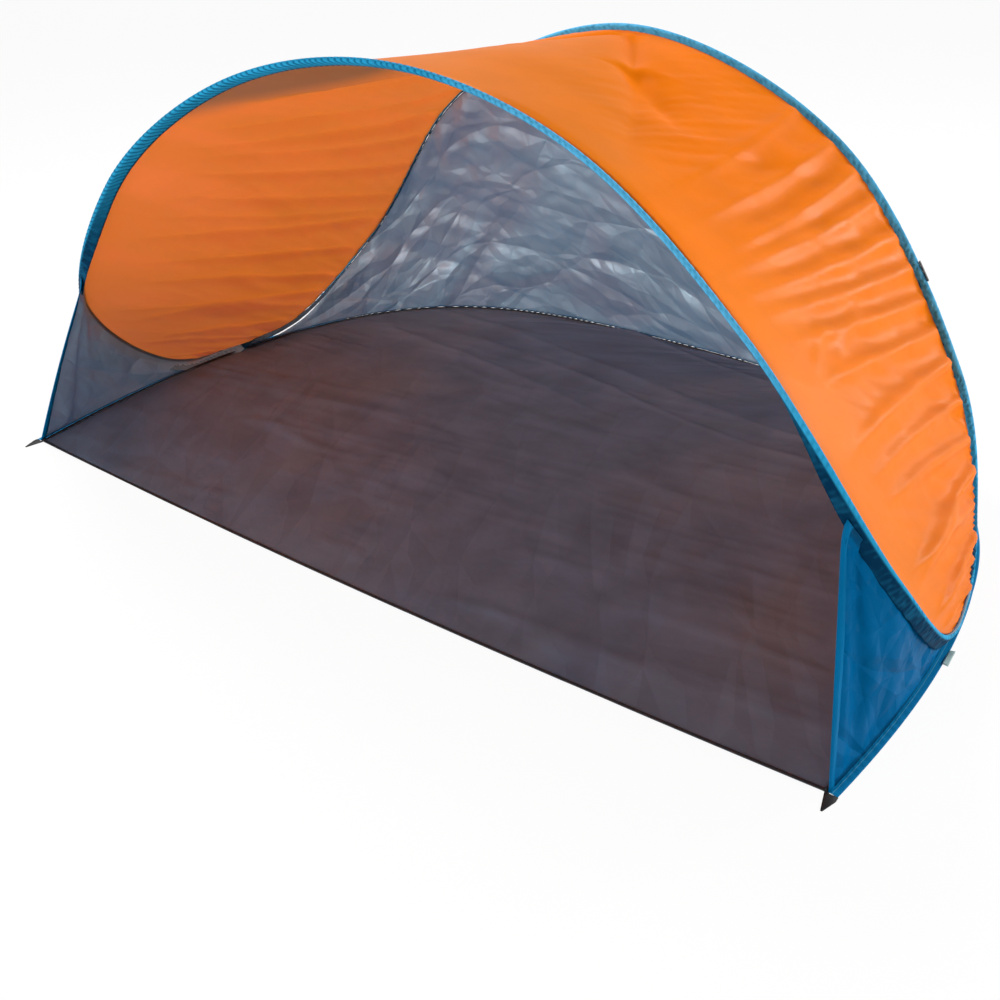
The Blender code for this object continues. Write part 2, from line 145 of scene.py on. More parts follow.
def noise(u, v, seed):
    """Smooth value noise over two arrays, about -1 to 1."""
    table = np.random.default_rng(seed).uniform(-1.0, 1.0, (64, 64))
    u, v = np.broadcast_arrays(np.asarray(u, float), np.asarray(v, float))
    i, j = np.floor(u).astype(int), np.floor(v).astype(int)
    s, t = u - i, v - j
    s, t = s * s * (3 - 2 * s), t * t * (3 - 2 * t)
    a, b = table[i % 64, j % 64], table[(i + 1) % 64, j % 64]
    c, d = table[i % 64, (j + 1) % 64], table[(i + 1) % 64, (j + 1) % 64]
    return mix(mix(a, b, s), mix(c, d, s), t)


def layered(u, v, seed, octaves=3):
    return sum(noise(u * 2**k, v * 2**k, seed + k) / 2**k for k in range(octaves))


def creased(u, v, seed, octaves=3):
    """Noise with sharp ridge lines, for crisp wrinkles, 0 to 1."""
    total = sum((1.0 - np.abs(noise(u * 2**k, v * 2**k, seed + k))) ** 4 / 2**k for k in range(octaves))
    return total / (2.0 - 0.5 ** (octaves - 1))


def hoop_stations():
    right = np.array(HOOP_SHARES) * np.array([HALF_SPAN, FLOOR_DEPTH, ARCH_HEIGHT])
    right[:, 1] -= FOLD_BACK
    return np.vstack([right, right[-2:0:-1] * flipped(-1)])


STATIONS = hoop_stations()


def hoop(step):
    """Places of the wire's centre at steps round the hoop, whole ones or not."""
    station = (np.asarray(step, float) % RING) / STEPS
    i = np.floor(station).astype(int)
    t = (station - i)[..., None]
    a, b, c, d = (STATIONS[(i + k) % len(STATIONS)] for k in (-1, 0, 1, 2))
    p = 0.5 * (2 * b + (c - a) * t + (2 * a - 5 * b + 4 * c - d) * t**2 + (3 * b - a - 3 * c + d) * t**3)
    over = p[..., 2] - WIRE_REST
    p[..., 2] = WIRE_REST + (over + np.sqrt(over**2 + 4 * WIRE_EASE**2)) / 2
    return p


def tangent(step):
    step = np.asarray(step, float)
    return unit(hoop(step + 0.5) - hoop(step - 0.5))


def right_half(step):
    """The like step on the right half of the hoop, and +1 or -1 for the side."""
    step = np.asarray(step, float) % RING
    return np.where(step > HALF, RING - step, step), np.where(step > HALF, -1.0, 1.0)


def floor_edge(share):
    """The right edge of the ground sheet, from the front corner to the middle of the back."""
    t = np.asarray(share, float)[..., None]
    front, side, rear = (k * HALF_SPAN for k in FLOOR_SWEEP)
    c = np.array([[front, 0.0], [side, FLOOR_DEPTH], [rear, FLOOR_DEPTH], [0.0, FLOOR_DEPTH]])
    r = 1 - t
    flat = r**3 * c[0] + 3 * r**2 * t * c[1] + 3 * r * t**2 * c[2] + t**3 * c[3]
    y = flat[..., 1] - FOLD_BACK
    rise = FLOOR_RISE * np.clip(((y + FOLD_BACK) / FLOOR_DEPTH - 0.5) / 0.5, 0, 1) ** 2
    return np.stack([flat[..., 0], y, rise], -1)


def foot(step):
    steps, shares = zip(*FOOT)
    return floor_edge(np.interp(step, steps, shares))


def foot_outward(step):
    step = np.asarray(step, float)
    ahead, behind = foot(np.minimum(step + 0.2, HALF)), foot(np.maximum(step - 0.2, WALL_STEP))
    run = unit((ahead - behind) * np.array([1, 1, 0]))
    return np.stack([run[..., 1], -run[..., 0], np.zeros(step.shape)], -1)


def skirt_width(y):
    return SKIRT_SIDE + (SKIRT_REAR - SKIRT_SIDE) * np.clip(2 * (y + FOLD_BACK) / FLOOR_DEPTH - 1, 0, 1)


def lowness(step):
    """1 where the sleeve lies down the side wall, by the low turns, and 0 on the arches."""
    return window(right_half(step)[0], (14, 19), (25.5, 28.5))


def band(step):
    """Direction from the wire to the sewn seam: into the arches above, down the walls by the turns."""
    p, t = hoop(step), tangent(step)
    spine = p * np.array([0.8, 1.0, 0.0])
    spine[..., 2] = 0.30 * ARCH_HEIGHT
    inward = unit(across(spine - p, t))
    other = unit(across(across(np.array([0.0, -1.0, 0.0]) * np.ones_like(p), t), inward))
    share = ease(p[..., 2] / ARCH_HEIGHT, 0.42, 0.68)
    full = np.where(p[..., 1] < 0, LEAN_FRONT, LEAN_REAR)
    middle = np.clip(np.abs(p[..., 1]) / (FOLD_BACK / 2), 0, 1)
    lean = (mix(LEAN_LOW, full, share) * middle)[..., None]
    arch = unit(inward * np.cos(lean) + other * np.sin(lean) * np.tanh(p[..., 1:2] / 0.03))
    inner, side = right_half(step)
    ground = foot(np.clip(inner, WALL_STEP, HALF)) * flipped(side)
    down = unit(across(ground - p, t))
    return unit(across(mix(arch, down, lowness(step)[..., None]), t))


def seam_reach(step):
    """How far the seam lies from the wire: less on the rear arch, where canopy and wall hide the rest."""
    return SLEEVE * mix(1.0, 0.60, ease(right_half(step)[0], 26.5, 31))


def canopy_side(step):
    """The way across the band to the side of the sleeve that the canopy covers."""
    p, over = hoop(step), np.cross(tangent(step), band(step))
    inner, hand = right_half(step)
    toward = unit(hoop(HALF - inner) * flipped(hand) - p)
    outward = unit(p - np.array([0.0, 0.0, 0.25]))
    guide = mix(toward, outward, lowness(step)[..., None])
    return facing(over, guide)


def mirror_rows(grid):
    """The right half's rows, then the same of the left half, as one run."""
    return np.concatenate([grid, grid[-2::-1] * flipped(-1)])


def mirror_values(values):
    return np.concatenate([values, values[-2::-1]])


def normals_of(grid):
    return unit(np.cross(np.gradient(grid, axis=0), np.gradient(grid, axis=1)))


def lengths(grid, axis):
    """Distance gone along the rows or the columns of a grid, or along a line of points."""
    step = np.linalg.norm(np.diff(grid, axis=axis), axis=-1)
    zero = np.zeros_like(np.take(step, [0], axis=axis))
    return np.concatenate([zero, np.cumsum(step, axis=axis)], axis=axis)


def settle(smooth, seeded, along, crosswise, rounds, stiff):
    """Lets cloth that is pinned all round buckle into folds. along and crosswise say by which share the
    cloth is longer than the smooth sheet, each way; seeded is the rough first guess of its folds."""
    rows, cols, _ = smooth.shape
    along, crosswise = (np.broadcast_to(slack, (rows, cols)) for slack in (along, crosswise))
    index = np.arange(rows * cols).reshape(rows, cols)
    free = np.pad(np.ones((rows - 2, cols - 2)), 1).ravel()
    flat, x = smooth.reshape(-1, 3), seeded.reshape(-1, 3).copy()
    ties = []
    near = ((1, 0, 1.0), (0, 1, 1.0), (1, 1, 0.3), (1, -1, 0.3))
    wide = ((2, 0, stiff), (0, 2, stiff), (4, 0, stiff / 2), (0, 4, stiff / 2))
    for di, dj, pull in near + wide:
        start = index[: rows - di, max(0, -dj) : cols - max(0, dj)]
        end = index[di:, max(0, dj) : cols + min(0, dj)]
        slack = (along * di + crosswise * abs(dj)) / (di + abs(dj))
        rest = np.linalg.norm(flat[end] - flat[start], axis=-1) * (1 + slack.ravel()[start])
        place = np.arange(start.shape[0])[:, None] // di if di else np.arange(start.shape[1])[None] // dj
        turn = np.broadcast_to(place % 2, start.shape)
        for half in (0, 1):
            here = turn == half
            a, b = start[here], end[here]
            moving = free[a] + free[b]
            a, b, keep = a[moving > 0], b[moving > 0], rest[here][moving > 0]
            share = (free[a] / (free[a] + free[b]))[:, None] * pull
            other = (free[b] / (free[a] + free[b]))[:, None] * pull
            ties.append((a, b, keep[:, None], share, other))
    for _ in range(rounds):
        for a, b, rest, share, other in ties:
            gap = x[b] - x[a]
            length = np.sqrt(np.sum(gap * gap, axis=1, keepdims=True))
            move = gap * (1.0 - rest / length)
            x[a] += move * share
            x[b] -= move * other
    x = x.reshape(rows, cols, 3)
    for _ in range(2):
        calm = (x[:-2, 1:-1] + x[2:, 1:-1] + x[1:-1, :-2] + x[1:-1, 2:]) / 4
        x[1:-1, 1:-1] = mix(x[1:-1, 1:-1], calm, 0.5)
    return x


def new_object(name, points, faces, mats, uv=None, values=None):
    mesh = bpy.data.meshes.new(name)
    mesh.from_pydata(points.reshape(-1, 3).tolist(), [], faces.tolist())
    for m in mats:
        mesh.materials.append(m)
    loops = np.empty(len(mesh.loops), int)
    mesh.loops.foreach_get("vertex_index", loops)
    if uv is None:
        uv = points.reshape(-1, 3)[:, :2]
    layer = mesh.uv_layers.new(name="UVMap")
    layer.data.foreach_set("uv", uv.reshape(-1, 2)[loops].astype(np.float32).ravel())
    for key, value in (values or {}).items():
        kept = mesh.attributes.new(key, "FLOAT", "POINT")
        kept.data.foreach_set("value", value.astype(np.float32).ravel())
    mesh.shade_smooth()
    made = bpy.data.objects.new(name, mesh)
    bpy.context.scene.collection.objects.link(made)
    return made


def cloth(name, grid, mats, outward, thick=CLOTH_THICK, edge=None, marks=None):
    """A thin closed cloth: its outer layer faces along outward, with an inner layer and a rim. edge is each
    point's distance from the nearest seam, for the stitching, and marks are its other named values."""
    rows, cols, _ = grid.shape
    n = normals_of(grid)
    way = -1 if np.sum(n[rows // 2, cols // 2] * np.asarray(outward)) < 0 else 1
    n = n * way
    points = np.stack([grid + n * thick / 2, grid - n * thick / 2])
    index = np.arange(rows * cols).reshape(rows, cols)
    quads = np.stack([index[:-1, :-1], index[1:, :-1], index[1:, 1:], index[:-1, 1:]], -1).reshape(-1, 4)
    quads = quads[:, ::way]
    ring = np.concatenate([index[0, :], index[1:, -1], index[-1, -2::-1], index[-2:0:-1, 0]])
    after = np.roll(ring, -1)
    count = rows * cols
    rim = np.stack([ring, after, after + count, ring + count], 1)[:, ::way]
    faces = np.concatenate([quads, (quads + count)[:, [0, 3, 2, 1]], rim])
    u, v = lengths(grid, 0), lengths(grid, 1)
    u = np.broadcast_to(u[:, cols // 2, None], u.shape)
    uv = np.tile(np.stack([u, v], -1).reshape(-1, 2), (2, 1))
    values = {} if edge is None else {"seam_distance": edge}
    values.update(marks or {})
    values = {key: np.tile(value.ravel(), 2) for key, value in values.items()}
    made = new_object(name, points, faces, mats, uv, values)
    side = np.zeros(len(faces), int)
    side[len(quads) : 2 * len(quads)] = len(mats) - 1
    made.data.polygons.foreach_set("material_index", side)
    return made


def tube(name, rings, mats, closed=True, uv=None, values=None):
    """A tube through rings of points, joined end to end or capped."""
    rows, cols, _ = rings.shape
    index = np.arange(rows * cols).reshape(rows, cols)
    walk = np.vstack([index, index[:1]]) if closed else index
    walk = np.hstack([walk, walk[:, :1]])
    faces = np.stack([walk[:-1, :-1], walk[1:, :-1], walk[1:, 1:], walk[:-1, 1:]], -1).reshape(-1, 4)
    made = new_object(name, rings, faces, mats, uv, values)
    if not closed:
        work = bmesh.new()
        work.from_mesh(made.data)
        bmesh.ops.holes_fill(work, edges=[e for e in work.edges if e.is_boundary])
        bmesh.ops.recalc_face_normals(work, faces=work.faces)
        work.to_mesh(made.data)
        work.free()
    return made


class Nodes:
    """A material or world being wired up."""

    def __init__(self, owner, shader="Principled BSDF", output="Material Output"):
        self.owner = owner
        owner.use_nodes = True
        self.tree = owner.node_tree
        self.shader, self.output = self.tree.nodes[shader], self.tree.nodes[output]

    def add(self, kind, **values):
        node = self.tree.nodes.new("ShaderNode" + kind)
        for key, value in values.items():
            setattr(node, key, value)
        return node

    def link(self, a, b):
        self.tree.links.new(a, b)

    def fill(self, socket, value):
        """A number, a colour or another node's output goes into the socket."""
        if isinstance(value, (int, float)):
            socket.default_value = value
        elif isinstance(value, tuple):
            socket.default_value = (*value, 1.0)
        else:
            self.link(value, socket)

    def feed(self, node, values):
        """Fills the node's inputs by their names."""
        for key, value in values.items():
            self.fill(node.inputs[key], value)

    def surface(self, share, below, above):
        """The surface is the shader above by that share, and the one below by the rest."""
        both = self.add("MixShader")
        self.fill(both.inputs[0], share)
        self.link(below.outputs[0], both.inputs[1])
        self.link(above.outputs[0], both.inputs[2])
        self.link(both.outputs[0], self.output.inputs["Surface"])

    def math(self, operation, a, b=0.0, clamp=False):
        node = self.add("Math", operation=operation, use_clamp=clamp)
        self.fill(node.inputs[0], a)
        self.fill(node.inputs[1], b)
        return node.outputs[0]

    def ramp(self, value, low, high):
        """0 below low, 1 above high, and smooth between."""
        node = self.add("MapRange", interpolation_type="SMOOTHSTEP")
        self.feed(node, {"Value": value, "From Min": low, "From Max": high})
        return node.outputs[0]

    def mix(self, factor, a, b):
        node = self.add("Mix", data_type="RGBA")
        self.fill(node.inputs[0], factor)
        self.fill(node.inputs[6], a)
        self.fill(node.inputs[7], b)
        return node.outputs[2]

    def mapped(self, place, scale, turn=0.0, kind="POINT"):
        node = self.add("Mapping", vector_type=kind)
        node.inputs["Rotation"].default_value = (0.0, 0.0, turn)
        node.inputs["Scale"].default_value = (*scale, 1.0)
        self.link(place, node.inputs["Vector"])
        return node.outputs[0]

    def noise(self, place, scale, detail=2.0, warp=0.0):
        if isinstance(scale, tuple):
            place, scale = self.mapped(place, scale), 1.0
        node = self.add("TexNoise")
        self.feed(node, {"Vector": place, "Scale": scale, "Detail": detail, "Distortion": warp})
        return node.outputs["Fac"]

    def creases(self, place, sizes):
        """Straight-edged facets, as in cloth that was packed small: large ones, then small ones."""
        total = 0.0
        for scale, height, turn in ((8.5, 1.0, -0.4), (21.0, 0.30, -0.9))[:sizes]:
            node = self.add("TexVoronoi", feature="DISTANCE_TO_EDGE")
            self.feed(node, {"Vector": self.mapped(place, (2.2, 0.9), turn, "TEXTURE"), "Scale": scale})
            total = self.math("ADD", total, self.math("MULTIPLY", node.outputs["Distance"], height))
        return total

    def value(self, name):
        return self.add("Attribute", attribute_name=name).outputs["Fac"]


def shades(colour, vary):
    return tuple(c * (1 - vary) for c in colour), tuple(min(1.0, c * (1 + vary)) for c in colour)


# Sewing thread: its line's distance from the seam, half its width, stitches to the metre, their share of it
STITCH_LINE = 0.006
STITCH_HALF_WIDTH = 0.0005
STITCHES = 280.0
STITCH_SHARE = 0.65

# Noise scales of the weave and of the rubbed wrinkles, and depths of these and of the sharp creases
WEAVE_SCALE = 1100.0
WRINKLE_SCALE = 38.0
WRINKLE_DEPTH = 0.002
CREASE_DEPTH = 0.050

# Crinkle above this has small creases between the large ones
FINE_CRINKLE = 0.4


def fabric(name, colour, rough=0.45, metal=0.0, specular=0.5, through=0.0, glow=None, vary=0.06, patch=None,
           stitch=None, hem=None, wrinkle=0.15, crinkle=0.0, marks=(), sheen=(1.0, 1.0, 1.0)):
    """Coated cloth with a fine weave, rubbed wrinkles and sharp small creases. patch is a second colour with
    its share and scale, stitch the colour of the thread, hem the darker colour of a seam with its width, and
    marks are (attribute, colour, share). through is the share of light that it lets pass, tinted by glow,
    and sheen tints what it reflects."""
    n = Nodes(bpy.data.materials.new(name))

    def marked(tone):
        for attribute, shade, share in marks:
            tone = n.mix(n.math("MULTIPLY", n.value(attribute), share, clamp=True), tone, shade)
        return tone

    place = n.add("UVMap", uv_map="UVMap").outputs[0]
    tone = n.mix(n.ramp(n.noise(place, 9.0, 3.0), 0.3, 0.7), *shades(colour, vary))
    if patch:
        shade, share, scale = patch
        drift = n.ramp(n.noise(place, scale, 4.0, 0.6), 0.42, 0.62)
        tone = n.mix(n.math("MULTIPLY", drift, share), tone, shade)
    tone = marked(tone)
    if hem:
        shade, wide = hem
        near = n.ramp(n.value("seam_distance"), wide * 1.2, wide * 0.8)
        tone = n.mix(n.math("MULTIPLY", near, 0.75), tone, shade)
    if stitch:
        parts = n.add("SeparateXYZ")
        n.link(place, parts.inputs[0])
        off = n.math("ABSOLUTE", n.math("SUBTRACT", n.value("seam_distance"), STITCH_LINE))
        near = n.math("LESS_THAN", off, STITCH_HALF_WIDTH)
        beat = n.math("FRACT", n.math("MULTIPLY", parts.outputs[0], STITCHES))
        tone = n.mix(n.math("MULTIPLY", near, n.math("LESS_THAN", beat, STITCH_SHARE)), tone, stitch)
    n.feed(n.shader, {"Base Color": tone, "Roughness": rough, "Metallic": metal,
                      "Specular IOR Level": specular, "Specular Tint": sheen})
    weave = n.math("MULTIPLY", n.noise(place, WEAVE_SCALE, 1.0), 0.12)
    fine = n.noise(place, WRINKLE_SCALE, 5.0, 0.8)
    bump = n.add("Bump")
    n.feed(bump, {"Strength": wrinkle, "Distance": WRINKLE_DEPTH, "Height": n.math("ADD", weave, fine)})
    if crinkle:
        sharp = n.add("Bump")
        n.feed(sharp, {"Strength": crinkle, "Distance": CREASE_DEPTH,
                       "Height": n.creases(place, 2 if crinkle > FINE_CRINKLE else 1)})
        n.link(sharp.outputs[0], bump.inputs["Normal"])
    n.link(bump.outputs[0], n.shader.inputs["Normal"])
    if through:
        lit = n.add("BsdfTranslucent")
        n.fill(lit.inputs["Color"], marked(glow or tone))
        n.surface(through, n.shader, lit)
    return n.owner


def steel():
    n = Nodes(bpy.data.materials.new("spring_wire"))
    place = n.add("TexCoord").outputs["Object"]
    grain = n.mix(n.noise(place, 60.0, 3.0), (0.36, 0.37, 0.39), (0.55, 0.56, 0.58))
    n.feed(n.shader, {"Base Color": grain, "Metallic": 1.0, "Roughness": 0.35})
    return n.owner


ORANGE_OUT = fabric("orange_outside", (0.9, 0.215, 0.001), rough=0.34, specular=0.05, through=0.4,
                    vary=0.04, glow=(1.0, 0.37, 0.022), stitch=(0.8, 0.15, 0.02),
                    hem=((0.76, 0.15, 0.01), 0.01), sheen=(1.0, 0.72, 0.34))
ORANGE_IN = fabric("orange_inside", (0.99, 0.255, 0.2), rough=0.36, specular=0.5, through=0.62, vary=0.05,
                   glow=(1.0, 0.82, 0.95), hem=((0.3, 0.1, 0.05), 0.004),
                   patch=((0.7, 0.2, 0.12), 0.55, (9.0, 1.2)),
                   # marks: painted shade near the top of the front arch, and painted sheen, a paler veil, on
                   # the low parts
                   marks=(("painted_shade_crescent", (0.22, 0.26, 0.36), 0.75), ("painted_sheen", (0.66, 0.42, 0.46), 0.55)))
BLUE_OUT = fabric("blue_outside", (0.0, 0.108, 0.27), rough=0.32, specular=0.012, through=0.15,
                  glow=(0.0, 0.3, 0.7), stitch=(0.0, 0.07, 0.2), hem=((0.004, 0.05, 0.11), 0.009),
                  crinkle=0.75)
BLUE_IN = fabric("silver_inside", (0.47, 0.65, 0.75), rough=0.44, metal=0.34, specular=0.4, through=0.3,
                 glow=(0.5, 0.85, 1.0), vary=0.1, hem=((0.06, 0.06, 0.07), 0.0035), crinkle=0.56,
                 patch=((0.48, 0.42, 0.46), 0.4, (3.0, 4.0)))
FLOOR = fabric("floor_cloth", (0.112, 0.142, 0.212), rough=0.46, specular=0.3, vary=0.14, wrinkle=0.35,
               crinkle=0.16, patch=((0.18, 0.185, 0.215), 0.45, (1.6, 1.6)))
SLEEVE_CLOTH = fabric("sleeve_cloth", (0.022, 0.3, 0.53), specular=0.008, vary=0.08, wrinkle=0.3,
                      # marks: painted light, painted shade, painted shade in the valleys of the pleats, and
                      # its grey lining
                      marks=(("light", (0.11, 0.44, 0.7), 0.75),
                             ("shade", (0.0015, 0.026, 0.065), 1.0),
                             ("painted_valley_shade", (0.004, 0.09, 0.19), 0.8),
                             ("lining", (0.23, 0.3, 0.36), 0.95)))
SKIRT_CLOTH = fabric("skirt_cloth", (0.006, 0.215, 0.46), rough=0.38, specular=0.03, through=0.15,
                     stitch=(0.12, 0.42, 0.62))
HEM_CLOTH = fabric("hem_cloth", (0.001, 0.125, 0.29), rough=0.42, specular=0.02, vary=0.08)
TAPE = fabric("black_tape", (0.012, 0.012, 0.015), rough=0.6, vary=0.2, wrinkle=0.4)
WEBBING = fabric("black_webbing", (0.01, 0.01, 0.011), rough=0.7, vary=0.3, wrinkle=0.6)
TAG = fabric("white_ribbon", (0.48, 0.62, 0.61), rough=0.4, specular=0.1, vary=0.02, through=0.2)
STEEL = steel()


def sewn(obj, nodes, body=None):
    """obj stands for CAD nodes, which it hides; it rides on one shell, or stays put with its transform baked
    into its mesh.
    """
    if body:
        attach(obj, body)
    else:
        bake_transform(obj)
    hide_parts(*nodes)


def build_hoop():
    step = np.arange(0, RING, 0.25)
    p, t, b = hoop(step), tangent(step), band(step)
    f = np.cross(t, b)
    turn = np.radians(np.arange(0, 360, 30))
    spokes = b[:, None] * np.cos(turn)[None, :, None] + f[:, None] * np.sin(turn)[None, :, None]
    wire = tube("spring_wire", p[:, None] + WIRE * spokes, [STEEL])
    sewn(wire, ["hoop_front", "hoop_rear", "hoop_turn_left", "hoop_turn_right"])


# Half of the sleeve's outline, from the seam round the wire: along the band, and to the side, metres
SLEEVE_OUTLINE = (
    (SLEEVE + 0.0030, 0.0000),
    (SLEEVE + 0.0012, 0.0011),
    (SLEEVE - 0.0030, 0.0019),
    (SLEEVE - 0.0065, 0.0026),
    (SLEEVE - 0.0100, 0.0033),
    (SLEEVE - 0.0140, 0.0041),
    (0.0030, 0.0046),
    (0.0000, 0.0046),
    (-0.0030, 0.0036),
    (-0.0045, 0.0013),
)


def spread(points, count):
    """A closed outline with its points spaced evenly."""
    ring = np.vstack([points, points[:1]])
    gone = lengths(ring, 0)
    at = np.arange(count) * gone[-1] / count
    return np.column_stack([np.interp(at, gone, ring[:, 0]), np.interp(at, gone, ring[:, 1])])


# The sleeve's mesh, and its pleats: pitch on the front and on the rear arch, height, and the height of the
# ruffle along the seam, metres
SLEEVE_RINGS = 3000
SLEEVE_POINTS = 34
LONG_PLEAT = 0.0140
SHORT_PLEAT = 0.0115
PLEAT_HEIGHT = 0.0010
RUFFLE_HEIGHT = 0.0022


def build_sleeve():
    """One shirred tube round the wire. Its pleats wind along the front arch, strongest on the left, and bunch
    up on the rear arch and by the turns."""
    step = np.arange(SLEEVE_RINGS) * RING / SLEEVE_RINGS
    p, t, b = hoop(step), tangent(step), band(step)
    f = np.cross(t, b)
    run = lengths(p, 0)
    total = run[-1] + np.linalg.norm(p[0] - p[-1])
    half = np.array(SLEEVE_OUTLINE)
    outline = spread(np.vstack([half, half[:0:-1] * np.array([1.0, -1.0])]), SLEEVE_POINTS)
    along, side = outline[:, 0], np.sign(outline[:, 1])
    away = unit(outline - np.array([0.006, 0.0]))
    inner, hand = right_half(step)

    # How strong the pleats of the two kinds are at each ring, and their shape
    front = 1 - ease(inner, 20, 28)
    wind = front * mix(0.22, 1.0, ease(-hand * inner, -8, 3)) + (1 - front) * 0.35
    bunch = mix(0.10, 1.0, ease(inner, 15, 27)) * mix(1.0, 0.55, ease(inner, 38, 46))
    lap = np.round(total / LONG_PLEAT) / total
    wob = noise(run[:, None] * 22, along[None] * 90, 11)
    long = np.cos(2 * np.pi * (run[:, None] * lap + side[None] * along[None] / 0.017) + 2.2 * wob)
    lap = np.round(total / SHORT_PLEAT) / total
    drift = noise(run * 14, run * 0, 12)
    short = 0.45 * np.cos(2 * np.pi * run * lap + 5.0 * drift)[:, None]
    crumple = side[None] * 7 + along[None] * 70
    short = short + 1.5 * noise(run[:, None] * 105, crumple, 13)
    short = short + 0.8 * noise(run[:, None] * 210, crumple * 2, 15)
    flat = np.clip((along + 0.004) / 0.010, 0.2, 1.0) * np.clip((SLEEVE + 0.003 - along) / 0.003, 0.05, 1)
    wave = wind[:, None] * long * PLEAT_HEIGHT + bunch[:, None] * short * PLEAT_HEIGHT
    out = outline[None] + away[None] * (flat[None] * wave)[..., None]
    behind = window(inner, (19, 22), (34, 38))
    ruffle = bunch * RUFFLE_HEIGHT * layered(run * 60, run * 0, 14, 2) * (1 - 0.7 * behind)
    out[..., 0] += ruffle[:, None] * np.clip(along / SLEEVE, 0, 1)[None] ** 2
    out[..., 0] *= np.where(out[..., 0] > 0, (seam_reach(step) / SLEEVE)[:, None], 1.0)
    rings = p[:, None] + b[:, None] * out[..., 0:1] + f[:, None] * out[..., 1:2]
    rings[..., 2] = np.maximum(rings[..., 2], SLEEVE_CLEAR)
    uv = np.stack(np.broadcast_arrays(run[:, None], (np.arange(SLEEVE_POINTS) * 0.0017)[None]), -1)

    # Painted shade by the seam, by the low turns and low on the rear arch, and in the valleys of the pleats;
    # where it shows its lining; and painted light on the right half's front arch and high on the rear arch
    edge = ease(along, SLEEVE - 0.004, SLEEVE + 0.001)
    low = window(inner, (10, 15), (28, 34))
    rear = window(inner, (20, 26), (31, 36))
    painted_shade = low[:, None] * ease(along, -0.001, 0.003)[None]
    painted_shade = np.maximum(painted_shade, rear[:, None] * ease(along, 0.001, 0.008)[None] * 0.75)
    painted_shade = np.maximum(painted_shade, edge[None])
    turned = np.sign(np.sum(f * canopy_side(step), -1))
    lining = (side[None] * turned[:, None] < 0) * behind[:, None]
    painted_shade = painted_shade * np.clip(0.97 + 0.08 * short, 0.7, 1) * (1 - lining)
    # Painted shade in the valleys of the pleats
    painted_valley_shade = np.clip(-wave / 0.0007, 0, 1) * (1 - painted_shade) * (1 - 0.6 * ease(inner, 30, 36))[:, None]
    # Painted light on the right half's front arch and high on the rear arch
    sunny = np.maximum(ease(inner, 30, 36), (hand > 0) * window(inner, (1, 5), (11, 15)))
    marks = {"shade": np.clip(painted_shade, 0, 1), "painted_valley_shade": painted_valley_shade, "lining": lining,
             "light": sunny[:, None] * (1 - painted_shade)}
    body = tube("wire_sleeve", rings, [SLEEVE_CLOTH], uv=uv, values=marks)
    sewn(body, ["sleeve_front", "sleeve_rear", "sleeve_turn_left", "sleeve_turn_right"])


# Broad folds of each half of the canopy, read off the photograph: from step and share of the way to the
# rear arch to step and share, with height and half width in metres
FOLDS = (
    (0.2, 1.00, 2.5, 0.62, -0.018, 0.026),
    (2.4, 0.66, 5.2, 0.44, -0.012, 0.045),
    (2.4, 0.66, 6.7, 0.08, -0.012, 0.050),
    (4.7, 1.00, 7.8, 0.09, 0.013, 0.030),
    (5.9, 1.00, 8.8, 0.07, 0.014, 0.019),
    (6.8, 1.00, 9.6, 0.12, 0.015, 0.016),
    (7.6, 1.00, 10.1, 0.11, 0.014, 0.014),
    (8.5, 1.00, 10.7, 0.13, 0.016, 0.015),
    (9.3, 1.00, 11.2, 0.17, 0.014, 0.013),
    (10.1, 1.00, 11.8, 0.24, 0.015, 0.013),
    (10.9, 1.00, 13.0, 0.22, 0.014, 0.013),
    (11.8, 1.00, 14.7, 0.16, 0.018, 0.018),
    (13.1, 1.00, 15.3, 0.25, 0.015, 0.014),
    (14.5, 1.00, 16.0, 0.28, 0.017, 0.017),
    (17.1, 1.00, 18.2, 0.15, 0.016, 0.013),
    (19.6, 1.00, 20.7, 0.10, 0.013, 0.009),
    (21.0, 1.00, 22.0, 0.10, 0.009, 0.008),
    (15.6, 1.00, 18.6, 0.20, 0.024, 0.021),
    (18.4, 1.00, 20.4, 0.30, 0.020, 0.014),
    (11.4, 0.36, 12.9, 0.18, 0.006, 0.005),
    (10.5, 0.60, 12.3, 0.35, 0.006, 0.005),
)

# Pitch of the puckers along the canopy's seams and along the rear wall's, metres
PUCKER = 0.015
WALL_PUCKER = 0.017


def ridge(x, y, start, end, width):
    """A smooth ridge along a line, narrow at its start and fading out at its end."""
    dx, dy = end[0] - start[0], end[1] - start[1]
    length = math.hypot(dx, dy)
    along = ((x - start[0]) * dx + (y - start[1]) * dy) / length**2
    off = ((x - start[0]) * dy - (y - start[1]) * dx) / length
    grow = width * (0.65 + 0.6 * np.clip(along, 0, 1))
    crest = np.exp(1.7 * (0.25 - np.sqrt((off / grow) ** 2 + 0.0625)))
    return crest * ease(along, -0.04, 0.05) * (1.0 - ease(along, 0.55, 1.15))


def canopy_edge(step):
    """Where the canopy is sewn on: over the sleeve on the arches, close to the wire by the turns."""
    p, front = hoop(step), (step < TIP)[:, None]
    high = p + band(step) * np.where(front, 0.018, 0.012)
    high = high + canopy_side(step) * np.where(front, 0.0042, 0.0032)
    above = np.maximum(TIP - np.abs(TIP - step) - 5, 0)
    middle = (hoop(above) + hoop(HALF - above)) / 2
    low = p + unit(across(middle - p, tangent(step))) * (SLEEVE_ROUND + 0.0012)
    share = window(right_half(step)[0], (9, 14), (28.5, 32))
    return mix(high, low, share[:, None])


